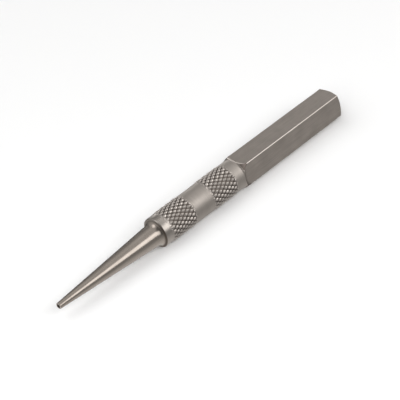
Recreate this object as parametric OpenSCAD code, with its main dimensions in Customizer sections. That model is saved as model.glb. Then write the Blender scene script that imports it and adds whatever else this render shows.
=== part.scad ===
// Nail set: one steel bar, turned, knurled and milled along its length.
// The bar lies along X with its point at -X and its striking end at +X.
// Z = 0 is the surface that the knurled bands rest on.

/* [Point] */
// Diameter of the tip
tip_d = 1.7; // [1:0.1:4]
// Width of the rim round the cup in the tip
rim_w = 0.3; // [0.15:0.05:0.4]
// Depth of the cup in the tip
cup_depth = 0.35; // [0.1:0.05:0.6]
// Length of the hardened end that holds the cup
tip_len = 5; // [3:0.5:10]
// Length from the tip to the shoulder face of the grip
point_len = 34.2; // [24:0.2:46]
// Diameter of the taper where it meets the shoulder face
root_d = 6.2; // [4.6:0.1:7.2]
// Radius of the fillet between the taper and the shoulder face
root_fillet = 0.6; // [0.1:0.05:1.2]

/* [Grip] */
// Diameter of the plain turned surfaces of the grip
grip_d = 8.4; // [8:0.1:10]
// Length of the plain collar behind the shoulder face
collar_len = 2.1; // [1:0.1:6]
// Size of the broken edge round the shoulder face
collar_edge = 0.3; // [0.05:0.05:0.5]
// Length of the knurled band next to the point
front_knurl_len = 8.9; // [4:0.1:16]
// Length of the plain band between the knurls
band_len = 6.4; // [2:0.1:12]
// Length of the knurled band next to the shank
rear_knurl_len = 8.6; // [4:0.1:16]
// Length of the plain neck behind the rear knurl
neck_len = 2.8; // [1:0.1:8]

/* [Knurl] */
// Number of diamonds round the bar
knurl_teeth = 21; // [12:1:32]
// Length of one diamond along the bar
knurl_pitch = 1.96; // [1.2:0.02:3]
// Height of the diamonds above the plain grip
knurl_rise = 0.18; // [0.05:0.01:0.3]
// Depth of the grooves below the tops of the diamonds
knurl_depth = 0.4; // [0.15:0.01:0.6]
// Share of each diamond that is left flat on top
knurl_land = 0.22; // [0.1:0.02:0.5]

/* [Shank] */
// Distance across the flats at the striking end
across_flats = 6.4; // [5.4:0.1:7.2]
// Extra distance across the flats where the shank starts
shank_taper = 0.22; // [0:0.02:0.5]
// Height of the shank's corners above the neck where the shank starts
corner_rise = 0.4; // [0.1:0.05:0.6]
// Length of the sloping shoulder in front of each corner
corner_slope_len = 1.1; // [0.5:0.1:2]
// Length over which the flats run out into the neck
runout_len = 1.4; // [1:0.1:5]
// Length of the full square section
shank_len = 31.6; // [20:0.1:60]

/* [Striking end] */
// Length of the striking end, bevel included
head_len = 4; // [2:0.5:10]
// Diameter of the flat striking face
face_d = 6; // [3:0.1:6.4]
// Angle of the turned bevel to the striking face
bevel_angle = 20; // [10:1:40]

/* [Hidden] */

$fn = 96;

tip_r = tip_d / 2;
root_r = root_d / 2;
grip_r = grip_d / 2;
crest_r = grip_r + knurl_rise;
groove_r = crest_r - knurl_depth;
stock_r = grip_r + corner_rise;
cup_r = tip_r - rim_w;
cup_ball_r = (cup_r * cup_r + cup_depth * cup_depth) / (2 * cup_depth);

// Stations along the bar, measured from the tip
collar_x = point_len;
front_knurl_x = collar_x + collar_len;
band_x = front_knurl_x + front_knurl_len;
rear_knurl_x = band_x + band_len;
neck_x = rear_knurl_x + rear_knurl_len;
runout_x = neck_x + neck_len;
shank_x = runout_x + runout_len;
head_x = shank_x + shank_len;
bar_len = head_x + head_len;

// Radius of the taper at a distance from the tip
function taper_r(x) = tip_r + (root_r - tip_r) * x / point_len;
taper_angle = atan((root_r - tip_r) / point_len);

// Half the distance across the flats at a distance from the tip
function flat_h(x) = (across_flats + shank_taper * (bar_len - x) / (bar_len - shank_x)) / 2;

// Distance of the shank's corners from its axis, which keeps the narrow land on each corner even
function corner_r(x) = stock_r - (flat_h(shank_x) - flat_h(x)) * sqrt(2);

turned_steel = [0.60, 0.58, 0.55];
knurled_steel = [0.52, 0.50, 0.47];
milled_steel = [0.50, 0.49, 0.47];

// Puts a child that stands on Z along the bar, its foot at a distance from the tip
module along_bar(x) {
    translate([x - bar_len / 2, 0, crest_r]) rotate([0, 90, 0]) children();
}

// Puts a child that already lies along X at a distance from the tip
module at_station(x) {
    translate([x - bar_len / 2, 0, crest_r]) children();
}

module plain_length(x, len) {
    along_bar(x) cylinder(r = grip_r, h = len);
}

// Hardened end of the taper with the cup that keeps the point on the nail
module cupped_tip() {
    color(turned_steel)
        along_bar(0)
            difference() {
                cylinder(r1 = tip_r, r2 = taper_r(tip_len), h = tip_len);
                translate([0, 0, cup_depth - cup_ball_r]) sphere(r = cup_ball_r);
            }
}

// Outline of the taper from the cupped tip to the shoulder face
// The fillet at its root takes up no more than the width of the shoulder face.
module taper_outline() {
    fillet = min(root_fillet, grip_r - collar_edge - root_r);
    fillet_x = point_len - fillet;
    fillet_r = taper_r(fillet_x) + fillet / cos(taper_angle);
    difference() {
        polygon([
            [0, tip_len],
            [taper_r(tip_len), tip_len],
            [taper_r(fillet_x), fillet_x],
            [fillet_r, fillet_x],
            [fillet_r, point_len],
            [0, point_len]
        ]);
        translate([fillet_r, fillet_x]) circle(r = fillet);
    }
}

module tapered_point() {
    color(turned_steel) along_bar(0) rotate_extrude() taper_outline();
}

// Plain collar whose front face is the annular shoulder
module front_collar() {
    color(turned_steel)
        along_bar(collar_x)
            rotate_extrude()
                polygon([
                    [0, 0],
                    [grip_r - collar_edge, 0],
                    [grip_r, collar_edge],
                    [grip_r, collar_len],
                    [0, collar_len]
                ]);
}

// Diamond knurl
// Two sets of grooves wind round the bar in opposite directions.
// Each ring of the lattice alternates groove crossings and diamonds, and every second ring
// is shifted by half a tooth. Places round the ring are counted in half teeth from the bottom.
half_teeth = 2 * knurl_teeth;
ring_points = 5 * knurl_teeth;

function knurl_point(r, place, x) =
    let (angle = place * 180 / knurl_teeth - 90)
    [x, r * cos(angle), r * sin(angle)];

function wrapped(place) = (place + half_teeth) % half_teeth;

// Index of the groove crossing at a place on a ring
function crossing_at(place, ring) = ring * ring_points + floor(wrapped(place) / 2);

// Index of the first of a diamond's four top corners
function diamond_at(place, ring) = ring * ring_points + knurl_teeth + 4 * floor(wrapped(place) / 2);

function ring_crossings(ring, step) = [
    for (tooth = [0 : knurl_teeth - 1])
        knurl_point(groove_r, 2 * tooth + ring % 2, ring * step)
];

// Top corners of the diamonds of a ring, cut off where the band ends
function ring_diamonds(ring, step, len) = [
    for (tooth = [0 : knurl_teeth - 1])
        let (place = 2 * tooth + (ring + 1) % 2)
        for (corner = [[-1, 0], [0, -1], [1, 0], [0, 1]])
            knurl_point(
                crest_r,
                place + knurl_land * corner[0],
                min(len, max(0, (ring + knurl_land * corner[1]) * step))
            )
];

// The two triangles of one side of a diamond
function side_faces(from, to, top_to, top_from) = [[from, to, top_to], [from, top_to, top_from]];

// Flat top and sloping sides of the diamond at a place on a ring
function diamond_faces(place, ring, rings) =
    let (
        top = diamond_at(place, ring),
        left = crossing_at(place - 1, ring),
        right = crossing_at(place + 1, ring),
        below = crossing_at(place, ring - 1),
        above = crossing_at(place, ring + 1)
    )
    concat(
        [[top, top + 3, top + 1], [top + 3, top + 2, top + 1]],
        ring < rings ? side_faces(left, above, top + 3, top) : [],
        ring < rings ? side_faces(above, right, top + 2, top + 3) : [],
        ring > 0 ? side_faces(right, below, top + 1, top + 2) : [],
        ring > 0 ? side_faces(below, left, top, top + 1) : []
    );

// Points round the rim of an end face; edge_corner is the diamond corner on that face
function rim_points(ring, edge_corner) = [
    for (tooth = [0 : knurl_teeth - 1])
        let (place = 2 * tooth + ring % 2, top = diamond_at(place + 1, ring))
        for (point = [crossing_at(place, ring), top, top + edge_corner, top + 2])
            point
];

// Fan of triangles from the centre of an end face to its rim
function fan_faces(centre, rim, turn) = [
    for (k = [0 : len(rim) - 1])
        let (this = rim[k], next = rim[(k + 1) % len(rim)])
        turn > 0 ? [centre, this, next] : [centre, next, this]
];

module knurl(len) {
    rings = max(2, round(2 * len / knurl_pitch));
    step = len / rings;
    last = (rings + 1) * ring_points;
    points = concat(
        [for (ring = [0 : rings]) each concat(ring_crossings(ring, step), ring_diamonds(ring, step, len))],
        [[0, 0, 0], [len, 0, 0]]
    );
    diamonds = [
        for (ring = [0 : rings], tooth = [0 : knurl_teeth - 1])
            each diamond_faces(2 * tooth + (ring + 1) % 2, ring, rings)
    ];
    polyhedron(
        points = points,
        faces = concat(
            diamonds,
            fan_faces(last, rim_points(0, 1), 1),
            fan_faces(last + 1, rim_points(rings, 3), -1)
        )
    );
}

module front_knurl() {
    color(knurled_steel) at_station(front_knurl_x) knurl(front_knurl_len);
}

module grip_band() {
    color(turned_steel) plain_length(band_x, band_len);
}

module rear_knurl() {
    color(knurled_steel) at_station(rear_knurl_x) knurl(rear_knurl_len);
}

module rear_neck() {
    color(turned_steel) plain_length(neck_x, neck_len);
}

// Length of the square shank: a slender cone with four flats milled on it
module square_length(x, len) {
    along_bar(x)
        intersection() {
            linear_extrude(height = len, scale = flat_h(x + len) / flat_h(x))
                square(2 * flat_h(x), center = true);
            cylinder(r1 = corner_r(x), r2 = corner_r(x + len), h = len);
        }
}

// Stock that stays between two opposite cutters where the flats run out
// Each cutter's round nose leaves the flat at its end and the neck's surface at its start.
module between_cutters() {
    runout_rise = grip_r - flat_h(shank_x);
    cutter_r = (runout_len * runout_len + runout_rise * runout_rise) / (2 * runout_rise);
    cutter_h = flat_h(shank_x) + cutter_r;
    rotate([90, 0, 0])
        linear_extrude(height = 4 * stock_r, center = true)
            difference() {
                translate([0, -cutter_h]) square([runout_len, 2 * cutter_h]);
                for (side = [-1, 1])
                    translate([runout_len, side * cutter_h]) circle(r = cutter_r);
            }
}

// Turned slope from the neck up to the corners of the shank, and the stock behind it
module corner_slope() {
    stock_end = corner_slope_len + runout_len;
    rotate([0, 90, 0])
        rotate_extrude()
            polygon([
                [0, 0],
                [grip_r, 0],
                [stock_r, corner_slope_len],
                [stock_r, stock_end],
                [0, stock_end]
            ]);
}

// Length in which the round neck turns into the square shank
module shank_runout() {
    color(milled_steel)
        at_station(runout_x)
            intersection() {
                corner_slope();
                between_cutters();
                rotate([90, 0, 0]) between_cutters();
            }
}

module square_shank() {
    color(milled_steel) square_length(shank_x, shank_len);
}

// End of the shank that the hammer hits, with a bevel turned on it
module striking_end() {
    bevel_len = (stock_r - face_d / 2) * tan(bevel_angle);
    color(milled_steel)
        intersection() {
            square_length(head_x, head_len);
            along_bar(head_x)
                rotate_extrude()
                    polygon([
                        [0, 0],
                        [stock_r, 0],
                        [stock_r, head_len - bevel_len],
                        [face_d / 2, head_len],
                        [0, head_len]
                    ]);
        }
}

cupped_tip();
tapered_point();
front_collar();
front_knurl();
grip_band();
rear_knurl();
rear_neck();
shank_runout();
square_shank();
striking_end();
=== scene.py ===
import bpy
import math
from mathutils import Matrix, Vector


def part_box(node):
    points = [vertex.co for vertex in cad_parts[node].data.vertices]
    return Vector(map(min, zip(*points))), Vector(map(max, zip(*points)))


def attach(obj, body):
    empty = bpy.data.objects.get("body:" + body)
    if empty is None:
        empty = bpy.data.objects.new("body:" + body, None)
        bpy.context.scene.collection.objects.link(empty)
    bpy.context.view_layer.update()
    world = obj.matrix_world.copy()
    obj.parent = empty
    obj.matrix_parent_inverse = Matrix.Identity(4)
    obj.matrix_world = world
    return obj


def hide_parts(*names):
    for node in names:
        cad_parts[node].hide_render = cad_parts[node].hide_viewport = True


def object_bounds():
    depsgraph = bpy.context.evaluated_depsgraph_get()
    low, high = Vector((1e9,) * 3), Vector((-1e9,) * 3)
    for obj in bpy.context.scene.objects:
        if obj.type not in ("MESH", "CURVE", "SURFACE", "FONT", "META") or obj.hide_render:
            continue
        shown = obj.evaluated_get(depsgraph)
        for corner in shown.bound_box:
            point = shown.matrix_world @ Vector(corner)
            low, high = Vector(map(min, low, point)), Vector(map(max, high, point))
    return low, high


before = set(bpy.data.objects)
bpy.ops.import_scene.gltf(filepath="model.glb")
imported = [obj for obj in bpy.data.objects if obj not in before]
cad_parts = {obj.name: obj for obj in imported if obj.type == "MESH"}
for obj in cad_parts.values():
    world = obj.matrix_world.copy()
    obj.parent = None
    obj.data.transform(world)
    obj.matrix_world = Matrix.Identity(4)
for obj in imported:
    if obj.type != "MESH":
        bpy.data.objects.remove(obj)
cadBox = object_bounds()
print("frame loaded:", len(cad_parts), "nodes")

mm = 0.001
tipX = round(cadBox[0].x, 6)
axisZ = round((cadBox[0].z + cadBox[1].z) / 2, 6)  # the bar's axis, above the floor


def station(x):
    # a place along the bar, given in millimetres from the tip
    return tipX + x * mm


def span(node):
    # the stations of a node's two ends, from the frame
    return tuple(round((corner.x - tipX) / mm, 3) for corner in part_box(node))


shoulder = span("front_collar")[0]
neckEnd = span("rear_neck")[1]


# Camera, at the photograph's viewing angle

cameraLook = {
    "azimuth": -37.926,
    "elevation": 34.568,
    "roll": -13.042,
    "distance": 0.85,
    "focalPixels": 3360.13,
    "imageSize": 400,
    "middleAt": (199.079, 200.703),  # where the middle of the bar lies in the image
    "sensorWidth": 36,
    "clipStart": 0.01,
}


def addCamera(look):
    azimuth = math.radians(look["azimuth"])
    elevation = math.radians(look["elevation"])
    roll = math.radians(look["roll"])
    back = Vector((
        math.sin(azimuth) * math.cos(elevation),
        -math.cos(azimuth) * math.cos(elevation),
        math.sin(elevation),
    ))
    level = Vector((math.cos(azimuth), math.sin(azimuth), 0))
    upright = back.cross(level)
    right = math.cos(roll) * level + math.sin(roll) * upright
    up = math.cos(roll) * upright - math.sin(roll) * level
    half = look["imageSize"] / 2
    perPixel = look["distance"] / look["focalPixels"]
    place = Vector((0, 0, axisZ)) + back * look["distance"]
    place -= right * (look["middleAt"][0] - half) * perPixel
    place += up * (look["middleAt"][1] - half) * perPixel
    bpy.ops.object.camera_add(location=place)
    camera = bpy.context.object
    camera.name = "photoCamera"
    turn = Matrix((right, up, back)).transposed().to_4x4()
    camera.matrix_world = Matrix.Translation(place) @ turn
    camera.data.sensor_width = look["sensorWidth"]
    camera.data.lens = look["focalPixels"] * look["sensorWidth"] / look["imageSize"]
    camera.data.clip_start = look["clipStart"]
    bpy.context.scene.camera = camera


addCamera(cameraLook)
print("camera set")


# Helpers for shader nodes

def mapRange(tree, value, fromMin, fromMax, toMin=0.0, toMax=1.0, smooth=False):
    # each bound is a number or another node's output
    node = tree.nodes.new("ShaderNodeMapRange")
    if smooth:
        node.interpolation_type = "SMOOTHSTEP"
    tree.links.new(value, node.inputs["Value"])
    bounds = {"From Min": fromMin, "From Max": fromMax, "To Min": toMin, "To Max": toMax}
    for socketName, bound in bounds.items():
        if isinstance(bound, (int, float)):
            node.inputs[socketName].default_value = bound
        else:
            tree.links.new(bound, node.inputs[socketName])
    return node.outputs["Result"]


def mathNode(tree, operation, first, second=None):
    node = tree.nodes.new("ShaderNodeMath")
    node.operation = operation
    for socket, value in zip(node.inputs, (first, second)):
        if isinstance(value, (int, float)):
            socket.default_value = value
        elif value is not None:
            tree.links.new(value, socket)
    return node.outputs["Value"]


def product(tree, first, *others):
    for other in others:
        first = mathNode(tree, "MULTIPLY", first, other)
    return first


def softStep(tree, value, edge, before, after):
    # 0 to 1 while the value goes from before to after, both counted from the edge
    start = mathNode(tree, "ADD", edge, before)
    return mapRange(tree, value, start, mathNode(tree, "ADD", edge, after), smooth=True)


def dotProduct(tree, vector, way):
    node = tree.nodes.new("ShaderNodeVectorMath")
    node.operation = "DOT_PRODUCT"
    tree.links.new(vector, node.inputs[0])
    node.inputs[1].default_value = way
    return node.outputs["Value"]


def mixColour(tree, share, first, second):
    node = tree.nodes.new("ShaderNodeMix")
    node.data_type = "RGBA"
    tree.links.new(share, node.inputs[0])
    for socket, colour in ((node.inputs[6], first), (node.inputs[7], second)):
        if isinstance(colour, tuple):
            socket.default_value = colour
        else:
            tree.links.new(colour, socket)
    return node.outputs[2]


def barPlace(tree):
    # how far along the bar, sideways from its axis and up from its axis
    place = tree.nodes.new("ShaderNodeTexCoord").outputs["Object"]
    split = tree.nodes.new("ShaderNodeSeparateXYZ")
    tree.links.new(place, split.inputs["Vector"])
    level = mathNode(tree, "SUBTRACT", split.outputs["Z"], axisZ)
    return split.outputs["X"], split.outputs["Y"], level


def barRadius(tree, across, level):
    acrossSquared = mathNode(tree, "POWER", across, 2.0)
    squares = mathNode(tree, "ADD", acrossSquared, mathNode(tree, "POWER", level, 2.0))
    return mathNode(tree, "SQRT", squares)


def cornerNearness(tree, across, level):
    # greatest on the shank's four long corners
    sideways = mathNode(tree, "ABSOLUTE", across)
    return mathNode(tree, "MINIMUM", sideways, mathNode(tree, "ABSOLUTE", level))


# Floor and soft studio light

studioLook = {
    "floorSize": 3.0,
    "floorColour": (0.9, 0.9, 0.9, 1),
    "floorRoughness": 0.9,
    # air brightness from straight below to straight above: (share of the ramp, level)
    "airFront": [
        (0.0, 0.68), (0.22, 0.46), (0.36, 0.29), (0.5, 0.22), (0.6, 0.3), (0.8, 0.45), (1.0, 0.5),
    ],
    "airBack": [
        (0.0, 0.68), (0.07, 0.5), (0.15, 0.1), (0.36, 0.08), (0.45, 0.1),
        (0.52, 0.16), (0.6, 0.24), (0.69, 0.2), (0.8, 0.24), (1.0, 0.28),
    ],
    "airTint": (1.0, 0.995, 0.985),
    "backWay": (2.0, 1.0, 0.0),  # the back of the studio lies beyond the head
    "backFrom": 1.05,
    "backTo": 1.6,
    "dimWay": (-0.506, -0.65, 0.567),  # a fixed darker side, where the photograph was taken from
    "dimLevel": 0.3,
    "dimFrom": 0.66,
    "dimTo": 0.9,
}

# soft boxes light the floor alone, cards show in the steel alone; all face the middle of the tool
# name, place, size, watts, roll in degrees
floorBoxes = [
    ("overheadBox", (-0.35, 0.30, 0.75), (1.40, 1.20), 5.4, 0),
    ("fillBox", (-0.20, -0.53, 0.48), (1.40, 0.32), 6.1, 0),
]
steelCards = [
    ("frontStrip", (0.22, -0.46, 0.315), (1.10, 0.35), 1.42, 0),
    ("sideCard", (0.47, -0.21, 0.364), (0.42, 1.10), 0.66, -52),
    ("highCard", (-0.13, 0.21, 0.81), (0.42, 0.42), 0.5, 0),
    ("backCard", (0.57, 0.44, 0.02), (0.63, 0.40), 1.4, 0),
]


def addFloor(look):
    bpy.ops.mesh.primitive_plane_add(size=look["floorSize"], location=(0, 0, 0))
    floor = bpy.context.object
    floor.name = "studioFloor"
    paper = bpy.data.materials.new("palePaper")
    paper.use_nodes = True
    shader = paper.node_tree.nodes["Principled BSDF"]
    shader.inputs["Base Color"].default_value = look["floorColour"]
    shader.inputs["Roughness"].default_value = look["floorRoughness"]
    shader.inputs["Specular IOR Level"].default_value = 0.0
    floor.data.materials.append(paper)
    floor.visible_glossy = False


def addRamp(tree, height, levels, tint):
    ramp = tree.nodes.new("ShaderNodeValToRGB")
    stops = ramp.color_ramp.elements
    while len(stops) < len(levels):
        stops.new(0.5)
    for stop, (share, level) in zip(stops, levels):
        stop.position = share
        stop.color = tuple(level * c for c in tint) + (1,)
    tree.links.new(height, ramp.inputs["Fac"])
    return ramp.outputs["Color"]


def addAir(look):
    world = bpy.data.worlds.new("studioAir")
    world.use_nodes = True
    tree = world.node_tree
    place = tree.nodes.new("ShaderNodeTexCoord").outputs["Generated"]
    split = tree.nodes.new("ShaderNodeSeparateXYZ")
    tree.links.new(place, split.inputs["Vector"])
    height = mapRange(tree, split.outputs["Z"], -1.0, 1.0)
    front = addRamp(tree, height, look["airFront"], look["airTint"])
    back = addRamp(tree, height, look["airBack"], look["airTint"])
    sky = tree.nodes["Background"].inputs
    reach = dotProduct(tree, place, look["backWay"])
    share = mapRange(tree, reach, look["backFrom"], look["backTo"], smooth=True)
    tree.links.new(mixColour(tree, share, front, back), sky["Color"])
    facing = dotProduct(tree, place, look["dimWay"])
    dimming = mapRange(tree, facing, look["dimFrom"], look["dimTo"], 1.0, look["dimLevel"], smooth=True)
    tree.links.new(dimming, sky["Strength"])
    bpy.context.scene.world = world


def addLamp(name, place, size, watts, roll):
    bpy.ops.object.light_add(type="AREA", location=place)
    lamp = bpy.context.object
    lamp.name = name
    lamp.data.shape = "RECTANGLE"
    lamp.data.size, lamp.data.size_y = size
    lamp.data.energy = watts
    facing = (-Vector(place)).to_track_quat("-Z", "Y")
    rolled = Matrix.Rotation(math.radians(roll), 3, "Z")
    lamp.rotation_euler = (facing.to_matrix() @ rolled).to_euler()
    return lamp


bpy.context.scene.view_settings.view_transform = "Standard"
addFloor(studioLook)
addAir(studioLook)
for box in floorBoxes:
    addLamp(*box).visible_glossy = False
for card in steelCards:
    addLamp(*card).visible_diffuse = False
print("studio lit")


# Helpers for modelling on the bar's axis

def deselectAll():
    if bpy.context.mode != "OBJECT":
        bpy.ops.object.mode_set(mode="OBJECT")
    bpy.ops.object.select_all(action="DESELECT")


def pickPiece(piece):
    deselectAll()
    piece.select_set(True)
    bpy.context.view_layer.objects.active = piece


def pickInMesh(piece, kind, test):
    # leaves the piece in edit mode with the vertices or edges selected whose points all pass the test
    bpy.ops.object.mode_set(mode="EDIT")
    bpy.ops.mesh.select_mode(type=kind)
    bpy.ops.mesh.select_all(action="DESELECT")
    bpy.ops.object.mode_set(mode="OBJECT")
    points = piece.data.vertices
    if kind == "VERT":
        for v in points:
            v.select = test(v.co)
    else:
        for e in piece.data.edges:
            e.select = all(test(points[k].co) for k in e.vertices)
    bpy.ops.object.mode_set(mode="EDIT")


def turnFacesOut():
    bpy.ops.mesh.select_all(action="SELECT")
    bpy.ops.mesh.normals_make_consistent(inside=False)
    bpy.ops.object.mode_set(mode="OBJECT")


def applyModifier(piece, name, kind, **settings):
    modifier = piece.modifiers.new(name, kind)
    for setting, value in settings.items():
        setattr(modifier, setting, value)
    bpy.ops.object.modifier_apply(modifier=name)


def arcPoints(centreX, centreR, radius, fromAngle, toAngle, steps):
    # points of an outline's rounding, angles in degrees from +X towards the outside
    points = []
    for k in range(steps + 1):
        a = math.radians(fromAngle + (toAngle - fromAngle) * k / steps)
        points.append((centreX + radius * math.cos(a), centreR + radius * math.sin(a)))
    return points


def turnOutline(name, outline, sides):
    # a disc at the first point, extruded and scaled from point to point of the outline
    deselectAll()
    x, r = outline[0]
    bpy.ops.mesh.primitive_circle_add(
        vertices=sides, radius=r * mm, fill_type="NGON",
        location=(station(x), 0, axisZ), rotation=(0, math.pi / 2, 0),
    )
    piece = bpy.context.object
    piece.name = name
    bpy.ops.object.mode_set(mode="EDIT")
    bpy.ops.mesh.select_all(action="SELECT")
    for (x0, r0), (x1, r1) in zip(outline, outline[1:]):
        bpy.ops.mesh.extrude_region_move(TRANSFORM_OT_translate={"value": ((x1 - x0) * mm, 0, 0)})
        if r1 != r0:
            bpy.ops.transform.resize(
                value=(1, r1 / r0, r1 / r0), center_override=(station(x1), 0, axisZ)
            )
    turnFacesOut()
    return piece


def finishPiece(piece, material, slotName, *nodeNames, smoothAngle=30):
    pickPiece(piece)
    bpy.ops.object.transform_apply(location=True, rotation=True, scale=True)
    bpy.ops.object.shade_smooth_by_angle(angle=math.radians(smoothAngle))
    piece.data.materials.clear()
    piece.data.materials.append(material)
    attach(piece, "root")
    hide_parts(*nodeNames)


# Steel finishes: tool marks everywhere, and masks for dirt, wear and polish, and for painted shade and a
# painted highlight

markLook = {
    "markDetail": 4.0,
    "patchScale": 260.0,
    "patchDetail": 3.0,
    "toneRange": (0.36, 0.64),
    "reliefDepth": 0.02,
}
# how softly each mask ends, in millimetres
rootSoftness = {"front": 0.3, "back": 0.15, "radius": 0.2}
shoulderShadeSoftness = {"corner": 0.1, "radius": 0.04, "end": 0.2}
# the root's painted shade lies on the lower front side: sideways and up shares, and where it sets in
shadeSide = {"across": -0.66, "level": -0.75, "from": -0.5, "to": 0.4}


def newGroup(name, inputs, outputs):
    group = bpy.data.node_groups.new(name, "ShaderNodeTree")
    for socketName, kind, value in inputs:
        socket = group.interface.new_socket(socketName, in_out="INPUT", socket_type=kind)
        socket.default_value = value
    for socketName, kind in outputs:
        group.interface.new_socket(socketName, in_out="OUTPUT", socket_type=kind)
    enter = group.nodes.new("NodeGroupInput")
    leave = group.nodes.new("NodeGroupOutput")
    return group, enter.outputs, leave.inputs


def newMask(name, *inputNames):
    inputs = [(inputName, "NodeSocketFloat", 0.0) for inputName in inputNames]
    return newGroup(name, inputs, [("Mask", "NodeSocketFloat")])


def noise(tree, vector, scale, detail):
    node = tree.nodes.new("ShaderNodeTexNoise")
    tree.links.new(vector, node.inputs["Vector"])
    node.inputs["Scale"].default_value = scale
    node.inputs["Detail"].default_value = detail
    return node.outputs["Fac"]


def makeMarksGroup(look):
    # tool marks drawn out along one direction, over soft patches of tone
    group, enter, leave = newGroup(
        "toolMarks",
        [
            ("Bright", "NodeSocketColor", (0.5, 0.455, 0.415, 1)),
            ("Dull", "NodeSocketColor", (0.4, 0.36, 0.33, 1)),
            ("Stretch", "NodeSocketVector", (1000, 1000, 1000)),
            ("Roughness Low", "NodeSocketFloat", 0.3),
            ("Roughness High", "NodeSocketFloat", 0.4),
        ],
        [
            ("Colour", "NodeSocketColor"),
            ("Roughness", "NodeSocketFloat"),
            ("Height", "NodeSocketFloat"),
        ],
    )
    place = group.nodes.new("ShaderNodeTexCoord").outputs["Object"]
    drawn = group.nodes.new("ShaderNodeVectorMath")
    drawn.operation = "MULTIPLY"
    group.links.new(place, drawn.inputs[0])
    group.links.new(enter["Stretch"], drawn.inputs[1])
    marks = noise(group, drawn.outputs["Vector"], 1.0, look["markDetail"])
    patches = noise(group, place, look["patchScale"], look["patchDetail"])
    tone = mathNode(group, "MULTIPLY", mathNode(group, "ADD", marks, patches), 0.5)
    low, high = look["toneRange"]
    share = mapRange(group, tone, low, high)
    group.links.new(mixColour(group, share, enter["Dull"], enter["Bright"]), leave["Colour"])
    rough = mapRange(group, tone, high, low, enter["Roughness Low"], enter["Roughness High"])
    group.links.new(rough, leave["Roughness"])
    group.links.new(marks, leave["Height"])
    return group


def makeGrooveGroup():
    # 1 at the bottom of the knurl's grooves, 0 on the diamonds; the dark colour it brings is partly dirt
    # and partly painted shade
    group, enter, leave = newMask("grooveDirtAndShade", "Groove Radius", "Clean Radius")
    radius = barRadius(group, *barPlace(group)[1:])
    mask = mapRange(group, radius, enter["Clean Radius"], enter["Groove Radius"], smooth=True)
    group.links.new(mask, leave["Mask"])
    return group


def makeCornerGroup():
    # 1 on the shank's four long corners, 0 on its flats and run-out
    group, enter, leave = newMask("cornerWear", "Flat Reach", "Corner Reach", "Corner Start")
    along, across, level = barPlace(group)
    nearness = cornerNearness(group, across, level)
    corner = mapRange(group, nearness, enter["Flat Reach"], enter["Corner Reach"], smooth=True)
    after = mathNode(group, "GREATER_THAN", along, enter["Corner Start"])
    group.links.new(product(group, corner, after), leave["Mask"])
    return group


def makeShoulderShadeGroup(softness):
    # 1 on the swell at the front of the shank's corners: painted shade, a dark colour standing for the
    # dark surroundings these facets reflect
    group, enter, leave = newMask("shoulderShade", "Corner Reach", "Shade Radius", "Shade End")
    along, across, level = barPlace(group)
    radius = barRadius(group, across, level)
    nearness = cornerNearness(group, across, level)
    soft = {edge: width * mm for edge, width in softness.items()}
    corner = softStep(group, nearness, enter["Corner Reach"], -soft["corner"], soft["corner"])
    swellShade = softStep(group, radius, enter["Shade Radius"], -soft["radius"], soft["radius"])
    before = softStep(group, along, enter["Shade End"], 0.0, -soft["end"])
    group.links.new(product(group, corner, swellShade, before), leave["Mask"])
    return group


def makeRootGroup(softness, side):
    # 1 in the inside corner between the taper and the collar's shoulder, on its lower front side:
    # painted shade, a dark colour where shade falls
    group, enter, leave = newMask("rootShade", "Corner Start", "Corner End", "Corner Radius")
    along, across, level = barPlace(group)
    radius = barRadius(group, across, level)
    soft = {edge: width * mm for edge, width in softness.items()}
    deep = softStep(group, radius, enter["Corner Radius"], -soft["radius"], soft["radius"])
    after = softStep(group, along, enter["Corner Start"], 0.0, soft["front"])
    before = softStep(group, along, enter["Corner End"], 0.0, -soft["back"])
    low = mathNode(
        group, "ADD", product(group, across, side["across"]), product(group, level, side["level"])
    )
    turned = mathNode(group, "DIVIDE", low, radius)
    under = mapRange(group, turned, side["from"], side["to"], smooth=True)
    group.links.new(product(group, deep, under, after, before), leave["Mask"])
    return group


def makeTipGroup():
    # 1 on the tip's end between two radii, in front of a depth
    group, enter, leave = newMask("tipFace", "Inner Radius", "Outer Radius", "Depth")
    along, *sides = barPlace(group)
    radius = barRadius(group, *sides)
    outside = mathNode(group, "GREATER_THAN", radius, enter["Inner Radius"])
    inside = mathNode(group, "LESS_THAN", radius, enter["Outer Radius"])
    front = mathNode(group, "LESS_THAN", along, enter["Depth"])
    group.links.new(product(group, outside, inside, front), leave["Mask"])
    return group


marksGroup = makeMarksGroup(markLook)
grooveGroup = makeGrooveGroup()
cornerGroup = makeCornerGroup()
shoulderShadeGroup = makeShoulderShadeGroup(shoulderShadeSoftness)
rootGroup = makeRootGroup(rootSoftness, shadeSide)
tipGroup = makeTipGroup()


def addGroup(tree, group, values):
    node = tree.nodes.new("ShaderNodeGroup")
    node.node_tree = group
    for socketName, value in values.items():
        node.inputs[socketName].default_value = value
    return node.outputs


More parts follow.
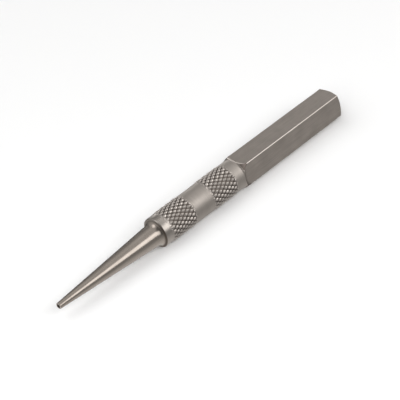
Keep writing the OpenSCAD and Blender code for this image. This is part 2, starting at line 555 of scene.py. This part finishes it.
def makeSteel(name, look):
    # tool marks in colour, roughness and relief, then each mask with its colour and roughness
    steel = bpy.data.materials.new(name)
    steel.use_nodes = True
    tree = steel.node_tree
    shader = tree.nodes["Principled BSDF"]
    shader.inputs["Metallic"].default_value = 1.0
    marks = addGroup(tree, marksGroup, {
        "Bright": look["bright"],
        "Dull": look["dull"],
        "Stretch": look["stretch"],
        "Roughness Low": look["roughness"][0],
        "Roughness High": look["roughness"][1],
    })
    colour = marks["Colour"]
    roughness = marks["Roughness"]
    for group, values, maskColour, maskRoughness in look["masks"]:
        mask = addGroup(tree, group, values)["Mask"]
        colour = mixColour(tree, mask, colour, maskColour)
        roughness = mapRange(tree, mask, 0.0, 1.0, roughness, maskRoughness)
    relief = tree.nodes.new("ShaderNodeBump")
    relief.inputs["Strength"].default_value = look["relief"]
    relief.inputs["Distance"].default_value = markLook["reliefDepth"] * mm
    tree.links.new(marks["Height"], relief.inputs["Height"])
    tree.links.new(colour, shader.inputs["Base Color"])
    tree.links.new(roughness, shader.inputs["Roughness"])
    tree.links.new(relief.outputs["Normal"], shader.inputs["Normal"])
    return steel


# a mask: its group, its values, and the colour and roughness that it brings
# painted shade: the root's inside corner coloured dark on its lower front side
rootShade = (
    rootGroup,
    {
        "Corner Start": station(shoulder - 0.6),
        "Corner End": station(shoulder + 0.2),
        "Corner Radius": 3.5 * mm,
    },
    (0.24, 0.2, 0.17, 1), 0.5,
)
# painted shade: the cup at the tip's end coloured almost black
cupShade = (
    tipGroup,
    {"Inner Radius": -1.0, "Outer Radius": 0.56 * mm, "Depth": station(0.4)},
    (0.1, 0.08, 0.07, 1), 0.4,
)
# polish and a painted highlight: the rim round the cup is smoother, and its much lighter colour is a
# painted highlight
rimPolishAndHighlight = (
    tipGroup,
    {"Inner Radius": 0.56 * mm, "Outer Radius": 0.86 * mm, "Depth": station(0.04)},
    (0.85, 0.78, 0.72, 1), 0.25,
)
# dirt and painted shade: the bottoms of the knurl's grooves coloured dark
grooveDirtAndShade = (
    grooveGroup,
    {"Groove Radius": 4.1 * mm, "Clean Radius": 4.2 * mm},
    (0.09, 0.072, 0.06, 1), 0.55,
)
cornerWear = (
    cornerGroup,
    {"Flat Reach": 2.98 * mm, "Corner Reach": 3.2 * mm, "Corner Start": station(neckEnd + 2.2)},
    (0.53, 0.483, 0.445, 1), 0.32,
)
# painted shade: the swell's facets at the front of the corners coloured dark
shoulderShade = (
    shoulderShadeGroup,
    {"Corner Reach": 2.35 * mm, "Shade Radius": 4.37 * mm, "Shade End": station(neckEnd + 2.15)},
    (0.22, 0.185, 0.165, 1), 0.5,
)

turnedLook = {
    "bright": (0.53, 0.482, 0.44, 1),
    "dull": (0.47, 0.428, 0.39, 1),
    "stretch": (4200, 260, 260),
    "roughness": (0.48, 0.55),
    "relief": 0.25,
    "masks": [],
}
collarLook = {
    "bright": (0.56, 0.51, 0.465, 1),
    "dull": (0.5, 0.455, 0.415, 1),
    "stretch": (4200, 260, 260),
    "roughness": (0.27, 0.33),
    "relief": 0.15,
    "masks": [rootShade],
}
taperLook = {
    "bright": (0.56, 0.495, 0.44, 1),
    "dull": (0.48, 0.422, 0.372, 1),
    "stretch": (110, 2400, 2400),
    "roughness": (0.19, 0.24),
    "relief": 0.04,
    "masks": [rootShade],
}
knurledLook = {
    "bright": (0.64, 0.585, 0.54, 1),
    "dull": (0.55, 0.5, 0.46, 1),
    "stretch": (1600, 1600, 1600),
    "roughness": (0.30, 0.40),
    "relief": 0.2,
    "masks": [grooveDirtAndShade],
}
milledLook = {
    "bright": (0.525, 0.47, 0.425, 1),
    "dull": (0.43, 0.384, 0.347, 1),
    "stretch": (160, 3800, 3800),
    "roughness": (0.40, 0.50),
    "relief": 0.2,
    "masks": [cornerWear, shoulderShade],
}
turnedSteel = makeSteel("turnedSteel", turnedLook)
collarSteel = makeSteel("collarSteel", collarLook)
pointSteel = makeSteel("pointSteel", taperLook)
tipSteel = makeSteel("tipSteel", {**taperLook, "masks": [cupShade, rimPolishAndHighlight]})
knurledSteel = makeSteel("knurledSteel", knurledLook)
milledSteel = makeSteel("milledSteel", milledLook)
print("steel mixed")


# Point: the cupped tip and the taper behind it

pointLook = {
    "tipRadius": 0.85,
    "rimWidth": 0.3,
    "cupDepth": 0.35,
    "cupStart": 4,  # degrees from the axis to the edge of the small flat at the bottom of the cup
    "cupSteps": 10,
    "rimRound": 0.07,
    "rimEnd": 92,  # degrees, where the rim's rounding meets the taper
    "rimSteps": 5,
    "tipLength": span("cupped_tip")[1],
    "length": shoulder,
    "rootRadius": 3.1,
    "flareLength": 1.6,
    "flareRise": 0.75,
    "flareSteps": 12,
    "sides": 128,
}


def taperRadius(look, x):
    return look["tipRadius"] + (look["rootRadius"] - look["tipRadius"]) * x / look["length"]


def makeCuppedTip(look):
    cupRadius = look["tipRadius"] - look["rimWidth"]
    depth = look["cupDepth"]
    ball = (cupRadius ** 2 + depth ** 2) / (2 * depth)
    edgeAngle = math.degrees(math.asin(cupRadius / ball))
    if depth > ball:
        edgeAngle = 180 - edgeAngle
    outline = arcPoints(depth - ball, 0, ball, look["cupStart"], edgeAngle, look["cupSteps"])
    roundR = look["rimRound"]
    outline += arcPoints(
        roundR, look["tipRadius"] - roundR, roundR, 180, look["rimEnd"], look["rimSteps"]
    )
    outline.append((look["tipLength"], taperRadius(look, look["tipLength"])))
    tip = turnOutline("cuppedTip", outline, look["sides"])
    finishPiece(tip, tipSteel, "turned_steel", "cupped_tip")


def makeTaper(look):
    # a straight taper that flares out to the shoulder
    outline = [(look["tipLength"], taperRadius(look, look["tipLength"]))]
    for step in range(look["flareSteps"] + 1):
        turn = math.radians(90 * step / look["flareSteps"])
        x = look["length"] - look["flareLength"] * (1 - math.sin(turn))
        outline.append((x, taperRadius(look, x) + look["flareRise"] * (1 - math.cos(turn))))
    taper = turnOutline("taperedPoint", outline, look["sides"])
    finishPiece(taper, pointSteel, "turned_steel", "tapered_point")


makeCuppedTip(pointLook)
makeTaper(pointLook)
print("point turned")


# Grip: collar, plain band and neck

gripLook = {
    "radius": 4.2,
    "collarRound": 0.3,
    "collarSteps": 6,
    "edgeBreak": 0.03,
    "sides": 128,
}


def makeCollar(look):
    r = look["radius"]
    edge = look["edgeBreak"]
    rounding = look["collarRound"]
    start, end = span("front_collar")
    outline = arcPoints(start + rounding, r - rounding, rounding, 180, 90, look["collarSteps"])
    outline += [(end - edge, r), (end, r - edge)]
    collar = turnOutline("frontCollar", outline, look["sides"])
    finishPiece(collar, collarSteel, "turned_steel", "front_collar")


def makeBand(look):
    r = look["radius"]
    edge = look["edgeBreak"]
    start, end = span("grip_band")
    outline = [(start, r - edge), (start + edge, r), (end - edge, r), (end, r - edge)]
    band = turnOutline("gripBand", outline, look["sides"])
    finishPiece(band, turnedSteel, "turned_steel", "grip_band")


def makeNeck(look):
    r = look["radius"]
    edge = look["edgeBreak"]
    start, end = span("rear_neck")
    neck = turnOutline("rearNeck", [(start, r - edge), (start + edge, r), (end, r)], look["sides"])
    finishPiece(neck, turnedSteel, "turned_steel", "rear_neck")


makeCollar(gripLook)
makeBand(gripLook)
makeNeck(gripLook)
print("grip lengths turned")


# Knurl: one diamond, copied round the bar and along each band

knurlLook = {
    "crestRadius": 4.38,
    "depth": 0.28,
    "teeth": 21,
    "steps": [(0.22, 0.15), (0.34, 0.09), (0.28, 0.06)],  # share taken off each side, rise
    "mergeDistance": 0.002,
    "grooveReach": 0.02,  # edges this close to the bottom of the grooves stay sharp
    "grooveCrease": 0.75,
    "fadeCurve": 1.5,
    "cutThreshold": 1e-5,  # the usual one is too coarse for a cut at this size
    "smoothAngle": 50,
    # piece, node, rings of diamonds, length of the fade at each end
    "bands": [
        ("frontKnurl", "front_knurl", 9, (1.3, 0.5)),
        ("rearKnurl", "rear_knurl", 9, (0.5, 0.5)),
    ],
}


def makeDiamond(look, name, start, step):
    # one diamond on top of the bar, its long way along the bar; left in edit mode
    halfTooth = math.pi / look["teeth"]
    grooveR = look["crestRadius"] - look["depth"]
    halfWidth = grooveR * math.sin(halfTooth)
    drop = grooveR * (1 - math.cos(halfTooth))
    top = (station(start), 0, axisZ + grooveR * mm)
    deselectAll()
    bpy.ops.mesh.primitive_circle_add(vertices=4, radius=1 * mm, fill_type="NGON", location=top)
    knurl = bpy.context.object
    knurl.name = name
    bpy.ops.object.transform_apply(location=True)
    bpy.ops.object.mode_set(mode="EDIT")
    bpy.ops.mesh.select_mode(type="VERT")
    bpy.ops.mesh.select_all(action="SELECT")
    bpy.ops.transform.resize(value=(step, halfWidth, 1), center_override=top)
    bpy.ops.object.mode_set(mode="OBJECT")
    pickInMesh(knurl, "VERT", lambda co: abs(co.y) > halfWidth * mm / 2)
    bpy.ops.transform.translate(value=(0, 0, -drop * mm))
    bpy.ops.mesh.select_all(action="SELECT")
    inner = step * halfWidth / math.hypot(step, halfWidth)
    for share, rise in look["steps"]:
        bpy.ops.mesh.inset(thickness=share * inner * mm, depth=rise * mm)
    return knurl


def spreadDiamonds(look, start, step, rings):
    # round the bar, then along it, each ring half a tooth further round
    halfTooth = math.pi / look["teeth"]
    axis = (station(start), 0, axisZ)
    bpy.ops.mesh.select_all(action="SELECT")
    bpy.ops.transform.rotate(value=halfTooth, orient_axis="X", center_override=axis)
    bpy.ops.mesh.spin(
        steps=look["teeth"] - 1, dupli=True, angle=2 * halfTooth * (look["teeth"] - 1),
        center=axis, axis=(1, 0, 0),
    )
    bpy.ops.mesh.select_all(action="SELECT")
    for ring in range(rings):
        bpy.ops.mesh.duplicate_move(TRANSFORM_OT_translate={"value": (step * mm, 0, 0)})
        bpy.ops.transform.rotate(value=halfTooth, orient_axis="X", center_override=axis)
    bpy.ops.mesh.select_all(action="SELECT")
    bpy.ops.mesh.remove_doubles(threshold=look["mergeDistance"] * mm)
    turnFacesOut()


def roundDiamonds(look, knurl):
    low = (look["crestRadius"] - look["depth"] + look["grooveReach"]) * mm
    pickInMesh(knurl, "EDGE", lambda co: math.hypot(co.y, co.z - axisZ) < low)
    bpy.ops.transform.edge_crease(value=look["grooveCrease"])
    bpy.ops.object.mode_set(mode="OBJECT")
    applyModifier(knurl, "rounding", "SUBSURF", levels=1, render_levels=1)


def fadeKnurl(look, knurl, start, end, fades):
    # the diamonds sink into the plain bar towards both ends of the band
    fade = knurl.vertex_groups.new(name="fade")
    for v in knurl.data.vertices:
        x = (v.co.x - tipX) / mm
        share = min((x - start) / fades[0], (end - x) / fades[1])
        fade.add([v.index], min(1, max(0, 1 - share)) ** look["fadeCurve"], "REPLACE")
    bpy.ops.object.empty_add(location=(0, 0, axisZ), rotation=(0, math.pi / 2, 0))
    barAxis = bpy.context.object
    pickPiece(knurl)
    applyModifier(
        knurl, "sinking", "CAST",
        cast_type="CYLINDER", object=barAxis, use_transform=True, use_z=False,
        use_radius_as_size=False, size=gripLook["radius"] * mm, factor=1, vertex_group=fade.name,
    )
    bpy.data.objects.remove(barAxis)


def trimBand(look, start, end):
    # cut off flat and closed at both ends
    bpy.ops.object.mode_set(mode="EDIT")
    for x, atStart in ((start, True), (end, False)):
        bpy.ops.mesh.select_all(action="SELECT")
        bpy.ops.mesh.bisect(
            plane_co=(station(x), 0, 0), plane_no=(1, 0, 0), use_fill=True,
            clear_inner=atStart, clear_outer=not atStart, threshold=look["cutThreshold"] * mm,
        )
    turnFacesOut()


def makeKnurl(look, name, nodeName, rings, fades):
    start, end = span(nodeName)
    step = (end - start) / rings
    knurl = makeDiamond(look, name, start, step)
    spreadDiamonds(look, start, step, rings)
    roundDiamonds(look, knurl)
    fadeKnurl(look, knurl, start, end, fades)
    trimBand(look, start, end)
    finishPiece(knurl, knurledSteel, "knurled_steel", nodeName, smoothAngle=look["smoothAngle"])


for knurlBand in knurlLook["bands"]:
    makeKnurl(knurlLook, *knurlBand)
print("knurls rolled")


# Shank: turned blank, four flats milled with a flaring end mill, edges broken

shankLook = {
    "end": span("striking_end")[1],
    # the blank's outline swells behind the neck: (distance, radius)
    "swell": [(0, 4.2), (0.3, 4.35), (0.6, 4.45), (0.9, 4.51), (1.3, 4.55), (1.8, 4.57)],
    "cornerEnd": 4.415,
    "flatsFrom": neckEnd + 1.35,
    "halfFlatFront": 3.31,
    "halfFlatEnd": 3.2,
    "millRadius": 6.5,
    "millNose": 1.5,
    "noseSteps": 12,
    "millFlare": 70,
    "millHeight": 4,  # of the flaring wall above the nose
    "millSides": 128,
    "faceRadius": 3.0,
    "bevelAngle": 20,
    "edgeRound": 0.05,
    "edgeSegments": 2,
    "edgeAngle": 24,  # edges sharper than this are broken
    "smoothAngle": 18,
    "sides": 160,
}


def makeFlatCutter(look):
    # the mill's path over the top flat: round in plan at the front, its wall flaring upwards
    mill = look["millRadius"]
    centre = (station(look["flatsFrom"] + mill), 0, axisZ + look["halfFlatFront"] * mm)
    deselectAll()
    bpy.ops.mesh.primitive_circle_add(
        vertices=look["millSides"], radius=mill * mm, fill_type="NGON", location=centre
    )
    cutter = bpy.context.object
    cutter.name = "flatCutter"
    bpy.ops.object.transform_apply(location=True)
    pickInMesh(cutter, "VERT", lambda co: co.x > centre[0] + 0.01 * mm)
    travel = look["end"] - look["flatsFrom"] - mill
    bpy.ops.transform.translate(value=(travel * mm, 0, 0))
    bpy.ops.mesh.select_all(action="SELECT")
    noseR = look["millNose"]
    nose = arcPoints(0, noseR, noseR, -90, look["millFlare"] - 90, look["noseSteps"])
    top = noseR + look["millHeight"]
    flare = nose[-1][0] + (top - nose[-1][1]) / math.tan(math.radians(look["millFlare"]))
    wall = nose + [(flare, top)]
    for (out0, up0), (out1, up1) in zip(wall, wall[1:]):
        bpy.ops.mesh.extrude_region_move(TRANSFORM_OT_translate={"value": (0, 0, (up1 - up0) * mm)})
        grow = (mill + out1) / (mill + out0)
        bpy.ops.transform.resize(value=(grow, grow, 1), center_override=centre)
    bpy.ops.mesh.select_all(action="SELECT")
    fall = math.atan((look["halfFlatFront"] - look["halfFlatEnd"]) / (look["end"] - look["flatsFrom"]))
    front = (station(look["flatsFrom"]), 0, centre[2])
    bpy.ops.transform.rotate(value=-fall, orient_axis="Y", center_override=front)
    turnFacesOut()
    return cutter


def millFlats(shank, cutter):
    for quarter in range(4):
        pickPiece(cutter)
        bpy.ops.transform.rotate(value=math.pi / 2, orient_axis="X", center_override=(0, 0, axisZ))
        bpy.ops.object.transform_apply(location=True, rotation=True, scale=True)
        pickPiece(shank)
        applyModifier(shank, "milling", "BOOLEAN", operation="DIFFERENCE", solver="EXACT", object=cutter)
    bpy.data.objects.remove(cutter)


def makeShank(look):
    bevel = math.tan(math.radians(look["bevelAngle"]))
    outline = [(neckEnd + distance, radius) for distance, radius in look["swell"]]
    outline.append((look["end"] - (look["cornerEnd"] - look["faceRadius"]) * bevel, look["cornerEnd"]))
    outline.append((look["end"], look["faceRadius"]))
    shank = turnOutline("squareShank", outline, look["sides"])
    millFlats(shank, makeFlatCutter(look))
    bpy.ops.object.transform_apply(location=True, rotation=True, scale=True)
    applyModifier(
        shank, "edgeBreak", "BEVEL",
        width=look["edgeRound"] * mm, segments=look["edgeSegments"],
        limit_method="ANGLE", angle_limit=math.radians(look["edgeAngle"]),
    )
    finishPiece(
        shank, milledSteel, "milled_steel", "shank_runout", "square_shank", "striking_end",
        smoothAngle=look["smoothAngle"],
    )
    applyModifier(shank, "evenNormals", "WEIGHTED_NORMAL", keep_sharp=True)


makeShank(shankLook)
print("shank milled")
